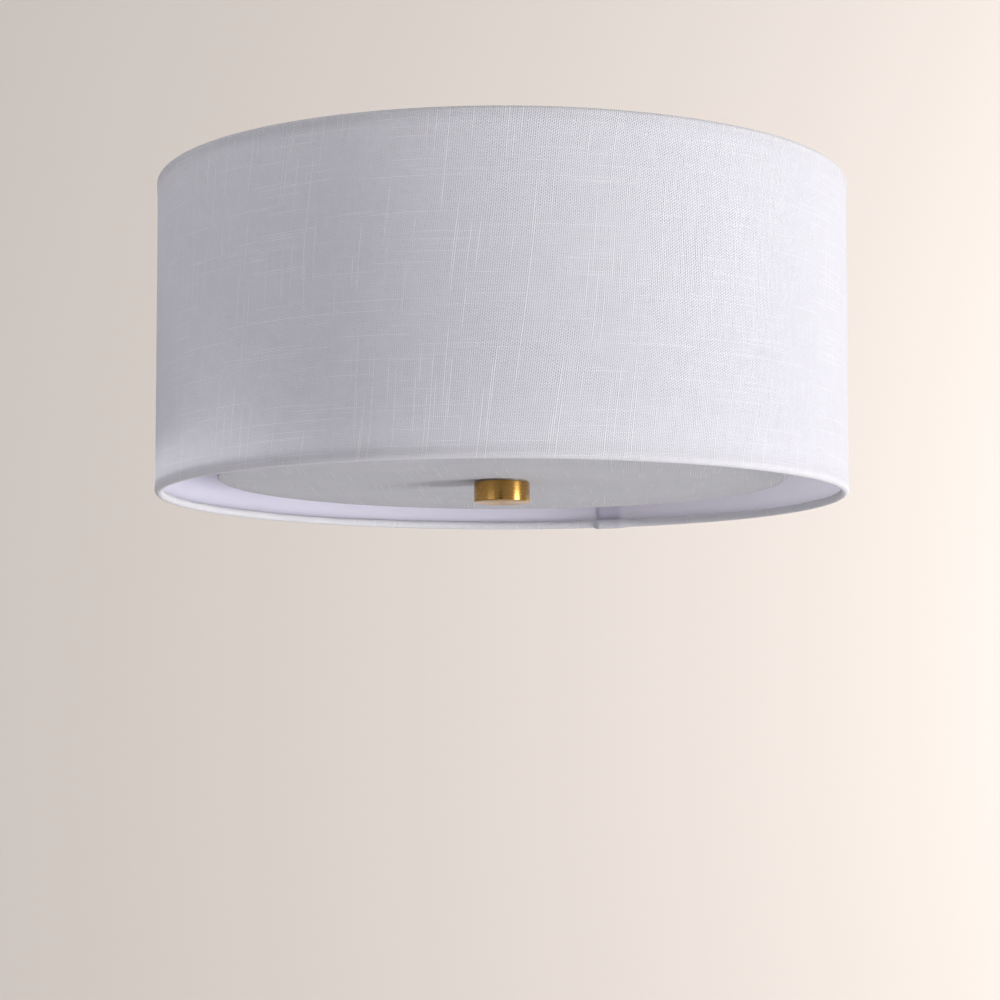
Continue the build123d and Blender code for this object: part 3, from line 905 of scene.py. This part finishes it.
holder = {"seat": 24.0 * mm, "hole": 5.0 * mm, "hub": 6.5 * mm, "hubLength": 6.0 * mm,
          "cap": 18.0 * mm, "capLength": 16.0 * mm, "capWall": 2.0 * mm, "shoulder": 3.5 * mm,
          "length": 46.0 * mm, "wall": 2.5 * mm, "terminalSpace": 11.5 * mm, "floor": 4.0 * mm,
          "edge": 0.4 * mm, "nippleStart": 19.0 * mm, "nippleProud": 1.5 * mm}
shell = {"inside": 13.4 * mm, "wall": 0.5 * mm, "length": 24.0 * mm, "eye": 5.5 * mm,
         "pitch": 3.629 * mm, "ridge": 0.3 * mm, "threadFrom": 3 * mm, "threadShort": 1.5 * mm,
         "threadSteps": 36, "threadFlat": 0.3, "edge": 0.12 * mm}
lamp = {"start": 58.5 * mm, "tip": 4.8 * mm, "tipFlat": 0.55, "tipHeight": 1.5 * mm,
        "insulator": 5.0 * mm, "insulatorRim": 4.9 * mm, "insulatorIn": 0.4 * mm,
        "cap": 13.0 * mm, "capRoot": 12.35 * mm, "capLength": 26.0 * mm,
        "collar": (2.4 * mm, 1.6 * mm),    # where the cap widens again, back from its end
        "neck": 13.7 * mm, "neckFlare": (1.0 * mm, 6 * mm), "cone": (26.65 * mm, 26 * mm),
        "coneRounds": [(2, 12 * mm), (3, 7 * mm)], "rim": 29.3 * mm, "housingLength": 36.0 * mm,
        "edge": 0.3 * mm, "insulatorEdge": 0.4 * mm, "capEdge": 0.25 * mm,
        "threadFrom": 0.3 * mm, "threadShort": 2.2 * mm, "threadSteps": 40, "threadFlat": 0.35,
        "globe": 30.0 * mm, "length": 108.0 * mm, "globeWall": 1.6 * mm}
lampLevel = 80.0 * mm


def lampMatrix(turn):
    return (Matrix.Translation((0, 0, -lampLevel)) @ Matrix.Rotation(turn, 4, "Z")
            @ Matrix.Rotation(math.pi / 2, 4, "Y"))


def lay(bm, turn):
    bmesh.ops.transform(bm, matrix=lampMatrix(turn), verts=bm.verts)
    return bm


def makeHolder(number, turn):
    bm = bmesh.new()
    seat, shoulder = holder["seat"], holder["seat"] + holder["hubLength"]
    start, wall = holder["seat"] + holder["capLength"], holder["capWall"]
    threadedTube(bm, holder["nippleStart"], shoulder + wall + holder["nippleProud"],
                 thread["bore"])
    place(lay(bm, turn), f"holder_nipple_threaded_{number}", "root", [zinc],
          [f"holder_nipple_{number}"])

    bm = bmesh.new()
    turnedForm(bm, [(holder["hole"], seat), (holder["hub"], seat), (holder["hub"], shoulder),
                    (holder["cap"], shoulder), (holder["cap"], start),
                    (holder["cap"] - wall, start), (holder["cap"] - wall, shoulder + wall),
                    (holder["hole"], shoulder + wall)],
               steps=96, edge=holder["edge"], rounds=[(3, holder["shoulder"])])
    place(lay(bm, turn), f"holder_cap_moulded_{number}", "root", [phenolic],
          [f"holder_cap_{number}"])

    end, inside = start + holder["length"], holder["cap"] - holder["wall"]
    floorLow = start + holder["terminalSpace"]
    base = floorLow + holder["floor"]
    bm = bmesh.new()
    turnedForm(bm, [(0, floorLow), (inside, floorLow), (inside, start), (holder["cap"], start),
                    (holder["cap"], end), (inside, end), (inside, base), (0, base)],
               steps=96, edge=holder["edge"])
    place(lay(bm, turn), f"holder_body_moulded_{number}", "root", [phenolic],
          [f"holder_body_{number}"])

    outer, mouth, sheet = shell["inside"] + shell["wall"], base + shell["length"], shell["wall"]
    bm = bmesh.new()
    turnedForm(bm, [(shell["eye"], base), (outer, base), (outer, mouth), (shell["inside"], mouth),
                    (shell["inside"], base + sheet), (shell["eye"], base + sheet)],
               steps=72, edge=shell["edge"])
    threadForm(bm, shell["inside"], shell["inside"] - shell["ridge"], base + shell["threadFrom"],
               mouth - shell["threadShort"], shell["pitch"], shell["threadSteps"],
               shell["threadFlat"], side=-1)
    place(lay(bm, turn), f"screw_shell_rolled_{number}", "root", [shellMetal],
          [f"screw_shell_{number}"])
    makeMachined(f"centre_contact_spring_{number}", f"centre_contact_{number}", shell["edge"],
                 "root", contactMetal)


def makeLamp(number, turn):
    start, low = lamp["start"], lamp["start"] + lamp["tipHeight"]
    bm = bmesh.new()
    turnedForm(bm, [(0, start), (lamp["tip"] * lamp["tipFlat"], start), (lamp["tip"], low),
                    (0, low)], steps=48, edge=lamp["edge"])
    place(lay(bm, turn), f"lamp_tip_{number}", f"bulb_{number}_tip",
          [contactMetal], [f"bulb_tip_{number}"])

    capEnd, skirt = start + lamp["capLength"], low + lamp["insulator"]
    rootEnd, collar = (capEnd - back for back in lamp["collar"])
    bm = bmesh.new()
    turnedForm(bm, [(0, low), (lamp["insulatorRim"], low),
                    (lamp["capRoot"] - lamp["insulatorIn"], skirt), (0, skirt)],
               steps=64, edge=lamp["insulatorEdge"])
    for face in bm.faces:
        face.material_index = 1
    turnedForm(bm, [(0, skirt), (lamp["capRoot"], skirt), (lamp["capRoot"], rootEnd),
                    (lamp["cap"], collar), (lamp["cap"], capEnd), (0, capEnd)],
               steps=72, edge=lamp["capEdge"])
    threadForm(bm, lamp["capRoot"], lamp["cap"], skirt + lamp["threadFrom"],
               capEnd - lamp["threadShort"], shell["pitch"], lamp["threadSteps"],
               lamp["threadFlat"])
    place(lay(bm, turn), f"lamp_screw_cap_{number}", f"bulb_{number}",
          [capMetal, insulatorGlass], [f"bulb_cap_{number}"])

    rimLevel = capEnd + lamp["housingLength"]
    flareOut, flareUp = lamp["neckFlare"]
    coneRadius, coneUp = lamp["cone"]
    bm = bmesh.new()
    turnedForm(bm, [(0, capEnd), (lamp["neck"], capEnd),
                    (lamp["neck"] + flareOut, capEnd + flareUp), (coneRadius, capEnd + coneUp),
                    (lamp["rim"], rimLevel), (0, rimLevel)],
               steps=96, edge=lamp["edge"], rounds=lamp["coneRounds"])
    place(lay(bm, turn), f"lamp_housing_{number}", f"bulb_{number}", [bulbBody],
          [f"bulb_housing_{number}"])

    middle = start + lamp["length"] - lamp["globe"]
    bm = bmesh.new()
    for size in (lamp["globe"], lamp["globe"] - lamp["globeWall"]):
        form = bmesh.new()
        bmesh.ops.create_uvsphere(form, u_segments=72, v_segments=48, radius=size,
                                  matrix=Matrix.Translation((0, 0, middle)))
        cutAway(form, (0, 0, rimLevel), (0, 0, -1))
        if size < lamp["globe"]:
            bmesh.ops.reverse_faces(form, faces=form.faces)
        joinForms(bm, form)
    rims = [e for e in bm.edges if e.is_boundary]
    bmesh.ops.bridge_loops(bm, edges=rims)
    bmesh.ops.recalc_face_normals(bm, faces=bm.faces)
    place(lay(bm, turn), f"lamp_globe_{number}", f"bulb_{number}", [opalGlobe],
          [f"bulb_globe_{number}"])


for number, turn in ((1, 0.0), (2, math.pi)):
    makeHolder(number, turn)
    makeLamp(number, turn)
print("lamps ready")


# Diffuser: an opal disc with linen drawn over it and turned in, held up by the finial

diffuser = {
    "radius": 167.1 * mm,
    "bottom": -175.95 * mm,
    "cloth": 0.5 * mm,
    "panel": 3.0 * mm,
    "edge": 1.1 * mm,             # radius of the cloth round the disc's edges
    "turnIn": 10.0 * mm,
    "hole": 5.5 * mm,
    "gatherCount": 96,
    "gatherDrift": 2,             # how unevenly the gathers follow each other
    "gatherHeight": 0.55 * mm,
    "gatherSpread": 0.8 * mm,
    "edgeWaver": 0.06 * mm,
    "driftRound": 3,              # how soon each unevenness changes round the disc
    "spreadRound": 27,
    "waverRound": 36,
    "columns": 360,
    "flatRows": 14,
    "edgeRows": 4,
}


diffuserBend = diffuser["edge"]
diffuserHeight = diffuser["panel"] + 2 * diffuser["cloth"]
quarterBend = math.pi / 2 * diffuserBend
flatReach = diffuser["radius"] - diffuserBend
sideReach = diffuserHeight - 2 * diffuserBend
turnStart = flatReach + 2 * quarterBend + sideReach
cutRadius = turnStart + diffuser["turnIn"] - diffuserBend


def diffuserPoint(reach):
    # Where a point of the flat cloth goes, from its distance to the middle.
    bottom, bend = diffuser["bottom"], diffuserBend
    top = bottom + diffuserHeight
    if reach <= flatReach:
        return reach, bottom
    reach -= flatReach
    if reach <= quarterBend:
        return (flatReach + bend * math.sin(reach / bend),
                bottom + bend * (1 - math.cos(reach / bend)))
    reach -= quarterBend
    if reach <= sideReach:
        return diffuser["radius"], bottom + bend + reach
    reach -= sideReach
    if reach <= quarterBend:
        return (flatReach + bend * math.cos(reach / bend),
                top - bend + bend * math.sin(reach / bend))
    return flatReach - (reach - quarterBend), top


def unevenness(angle, often):
    return noise.noise(onCircle(often, angle, 0))


def makeDiffuserLinen():
    rows = diffuser["edgeRows"]
    shares = [i / rows for i in range(1, rows + 1)]
    stops = [diffuser["hole"]]
    stops += [flatReach * i / diffuser["flatRows"] for i in range(1, diffuser["flatRows"] + 1)]
    stops += [flatReach + quarterBend * share for share in shares]
    stops += [flatReach + quarterBend + sideReach]
    stops += [flatReach + quarterBend + sideReach + quarterBend * share for share in shares]
    stops += [turnStart + (cutRadius - turnStart) * share for share in shares]
    bm = bmesh.new()
    verts = [bm.verts.new((stop, 0, 0)) for stop in stops]
    edges = [bm.edges.new(pair) for pair in zip(verts, verts[1:])]
    bmesh.ops.spin(bm, geom=verts + edges, cent=(0, 0, 0), axis=(0, 0, 1), angle=fullTurn,
                   steps=diffuser["columns"], use_merge=True)
    bmesh.ops.remove_doubles(bm, verts=bm.verts, dist=weldGap)
    mapFlat(bm)
    for vert in bm.verts:
        reach, angle = math.hypot(vert.co.x, vert.co.y), math.atan2(vert.co.y, vert.co.x)
        radius, level = diffuserPoint(reach)
        if reach > turnStart:
            # the turned-in edge is fuller than the circle it lies on, so it gathers
            share = (reach - turnStart) / (cutRadius - turnStart)
            drift = diffuser["gatherDrift"] * unevenness(angle, diffuser["driftRound"])
            wave = 0.5 + 0.5 * math.sin(angle * diffuser["gatherCount"] + drift)
            level += share * diffuser["gatherHeight"] * wave
            radius += share * diffuser["gatherSpread"] * unevenness(angle, diffuser["spreadRound"])
        elif reach > flatReach:
            radius += diffuser["edgeWaver"] * unevenness(angle, diffuser["waverRound"])
        vert.co = onCircle(radius, angle, level)
    bmesh.ops.recalc_face_normals(bm, faces=bm.faces)
    underside = diffuser["bottom"] + 0.01 * mm
    if sum(f.normal.z for f in bm.faces if f.calc_center_median().z < underside) > 0:
        bmesh.ops.reverse_faces(bm, faces=bm.faces)
    piece = place(bm, "diffuser_linen", "diffuser", [shadedDiffuserCloth],
                  ["diffuser_fabric"], sharpAbove=60)
    thicken(piece, "cloth thickness", diffuser["cloth"])


finial = {"radius": 16.5 * mm, "top": -176.75 * mm, "height": 11.9 * mm, "edge": 0.7 * mm,
          "bore": 5.05 * mm, "holeDepth": 9.0 * mm, "steps": 160}


def makeFinial():
    bm = bmesh.new()
    low = finial["top"] - finial["height"]
    holeEnd = finial["top"] - finial["holeDepth"]
    turnedForm(bm, [(finial["bore"], finial["top"]), (finial["radius"], finial["top"]),
                    (finial["radius"], low), (0, low), (0, holeEnd), (finial["bore"], holeEnd)],
               finial["steps"], finial["edge"], segments=4)
    place(bm, "finial_knob", "finial", [brass], ["finial"])


makeMachined("diffuser_acrylic", "diffuser_panel", 0.3 * mm, "diffuser",
             opalPanel)
makeDiffuserLinen()
makeMachined("finial_washer_nylon", "finial_washer", 0.15 * mm, "finial_washer",
             shadedWasherNylon)
makeFinial()
print("diffuser and finial ready")


# Stage, light and camera

studio = {
    "floorLevel": -2.2, "floorFront": -7.0, "backdropAt": 3.2, "backdropTop": 4.0,
    "sweepRadius": 1.5, "sweepSteps": 16, "halfWidth": 7.0,
    "warmFrom": -2.0, "warmBy": -1.0,    # heights where the floor's tint starts to warm and ends
    "aimAt": (0, 0, -0.12),
    "floorColour": "#c6c5c8", "backdropColour": "#d3cac2",
    "worldColour": "#f6f7fb", "worldStrength": 0.66,
    "key": {"power": 103.0, "size": 1.0, "turn": 66.0, "rise": -16.0, "distance": 3.2,
            "colour": "#ffffff"},
    "leftFill": {"power": 9.0, "size": 1.5, "turn": -45.0, "rise": -12.0, "distance": 3.0,
                 "colour": "#f8f9ff"},
    "backdropLight": {"power": 172.0, "size": 1.5, "place": (3.4, 0.8, 0.1),
                      "aim": (3.4, 3.2, 0.1), "colour": "#ffffff"},
    "flag": {"left": -0.95, "right": 0.4, "at": -5.0, "low": -2.0, "high": 1.2,
             "colour": "#151517"},
}


def addToStage(bm, name, material):
    mesh = bpy.data.meshes.new(name)
    bm.to_mesh(mesh)
    bm.free()
    mesh.materials.append(material)
    added = bpy.data.objects.new(name, mesh)
    bpy.context.scene.collection.objects.link(added)
    return added


def makeStage():
    # A pale floor that sweeps up into a backdrop well behind the light.
    bm = bmesh.new()
    wide, level = studio["halfWidth"], studio["floorLevel"]
    curve = studio["sweepRadius"]
    front = [bm.verts.new((side * wide, studio["floorFront"], level)) for side in (-1, 1)]
    edge = bm.edges.new(front)

    def pushOn(vec):
        nonlocal edge
        grown = bmesh.ops.extrude_edge_only(bm, edges=[edge])["geom"]
        edge = next(g for g in grown if isinstance(g, bmesh.types.BMEdge))
        bmesh.ops.translate(bm, verts=list(edge.verts), vec=vec)

    pushOn((0, studio["backdropAt"] - studio["floorFront"] - curve, 0))
    steps = studio["sweepSteps"]
    centre = (0, studio["backdropAt"] - curve, level + curve)
    for _ in range(steps):
        pushOn((0, 0, 0))
        bmesh.ops.rotate(bm, verts=list(edge.verts), cent=centre,
                         matrix=Matrix.Rotation(math.pi / 2 / steps, 3, "X"))
    pushOn((0, 0, studio["backdropTop"] - level - curve))
    for face in bm.faces:
        face.smooth = True
    # matt painted floor, neutral underfoot and warmer up the backdrop
    material, tree, shader = newMaterial("painted studio floor", {
        "Roughness": 0.9, "Specular IOR Level": 0.1})
    height = addNode(tree, "ShaderNodeSeparateXYZ",
                     inputs={"Vector": objectPoint(tree)}).outputs["Z"]
    climb = addNode(tree, "ShaderNodeMapRange", {"interpolation_type": "SMOOTHSTEP"},
                    {"Value": height, "From Min": studio["warmFrom"],
                     "From Max": studio["warmBy"]}).outputs[0]
    tree.links.new(tintBetween(tree, climb, (0.0, studio["floorColour"]),
                               (1.0, studio["backdropColour"])), shader.inputs["Base Color"])
    floor = addToStage(bm, "studio_floor", material)


def makeFlag():
    # A dark cloth flag behind the camera, which gives the brass something to reflect.
    flag = studio["flag"]
    bm = bmesh.new()
    wide, tall = flag["right"] - flag["left"], flag["high"] - flag["low"]
    middle = Vector((flag["left"] + wide / 2, flag["at"], flag["low"] + tall / 2))
    bmesh.ops.create_grid(bm, x_segments=1, y_segments=1, size=0.5,
                          matrix=Matrix.Translation(middle) @ Matrix.Rotation(math.pi / 2, 4, "X")
                          @ Matrix.Diagonal((wide, tall, 1, 1)))
    board = addToStage(bm, "studio_flag", newMaterial("black duvetyn", {
        "Base Color": linear(flag["colour"]), "Roughness": 1.0, "Specular IOR Level": 0.0})[0])
    board.visible_camera = False


def areaLight(name, power, size, colour, fromPoint, toPoint):
    data = bpy.data.lights.new(name, "AREA")
    data.energy, data.size, data.color = power, size, linear(colour)[:3]
    lampObject = bpy.data.objects.new(name, data)
    lampObject.location = fromPoint
    lampObject.rotation_mode = "QUATERNION"
    lampObject.rotation_quaternion = (Vector(toPoint) - Vector(fromPoint)).to_track_quat("-Z", "Y")
    bpy.context.scene.collection.objects.link(lampObject)


def softbox(name, settings):
    # A square light round the model, turned from the camera's axis and aimed at its middle.
    middle = Vector(studio["aimAt"])
    turn, rise = math.radians(settings["turn"]), math.radians(settings["rise"])
    away = Vector((math.sin(turn) * math.cos(rise), -math.cos(turn) * math.cos(rise),
                   math.sin(rise)))
    areaLight(name, settings["power"], settings["size"], settings["colour"],
              middle + away * settings["distance"], middle)


def makeLights():
    softbox("key", studio["key"])
    softbox("left fill", studio["leftFill"])
    wash = studio["backdropLight"]
    areaLight("backdrop wash", wash["power"], wash["size"], wash["colour"], wash["place"],
              wash["aim"])
    world = bpy.data.worlds.new("studio")
    bpy.context.scene.world = world
    world.use_nodes = True
    background = world.node_tree.nodes["Background"]
    background.inputs["Color"].default_value = linear(studio["worldColour"])
    background.inputs["Strength"].default_value = studio["worldStrength"]


camera = {"place": (-1.09 * mm, -1564.7 * mm, -347.7 * mm), "pitch": 3.711, "lens": 95.93,
          "shift": 0.1, "sensor": 36.0, "near": 0.05, "far": 60}


def makeCamera():
    data = bpy.data.cameras.new("camera")
    data.sensor_width, data.lens, data.shift_y = camera["sensor"], camera["lens"], camera["shift"]
    data.clip_start, data.clip_end = camera["near"], camera["far"]
    view = bpy.data.objects.new("camera", data)
    view.location = camera["place"]
    view.rotation_euler = (math.radians(90 + camera["pitch"]), 0, 0)
    bpy.context.scene.collection.objects.link(view)
    bpy.context.scene.camera = view


makeStage()
makeFlag()
makeLights()
makeCamera()
bpy.context.scene.view_settings.view_transform = "Standard"
print("stage ready")
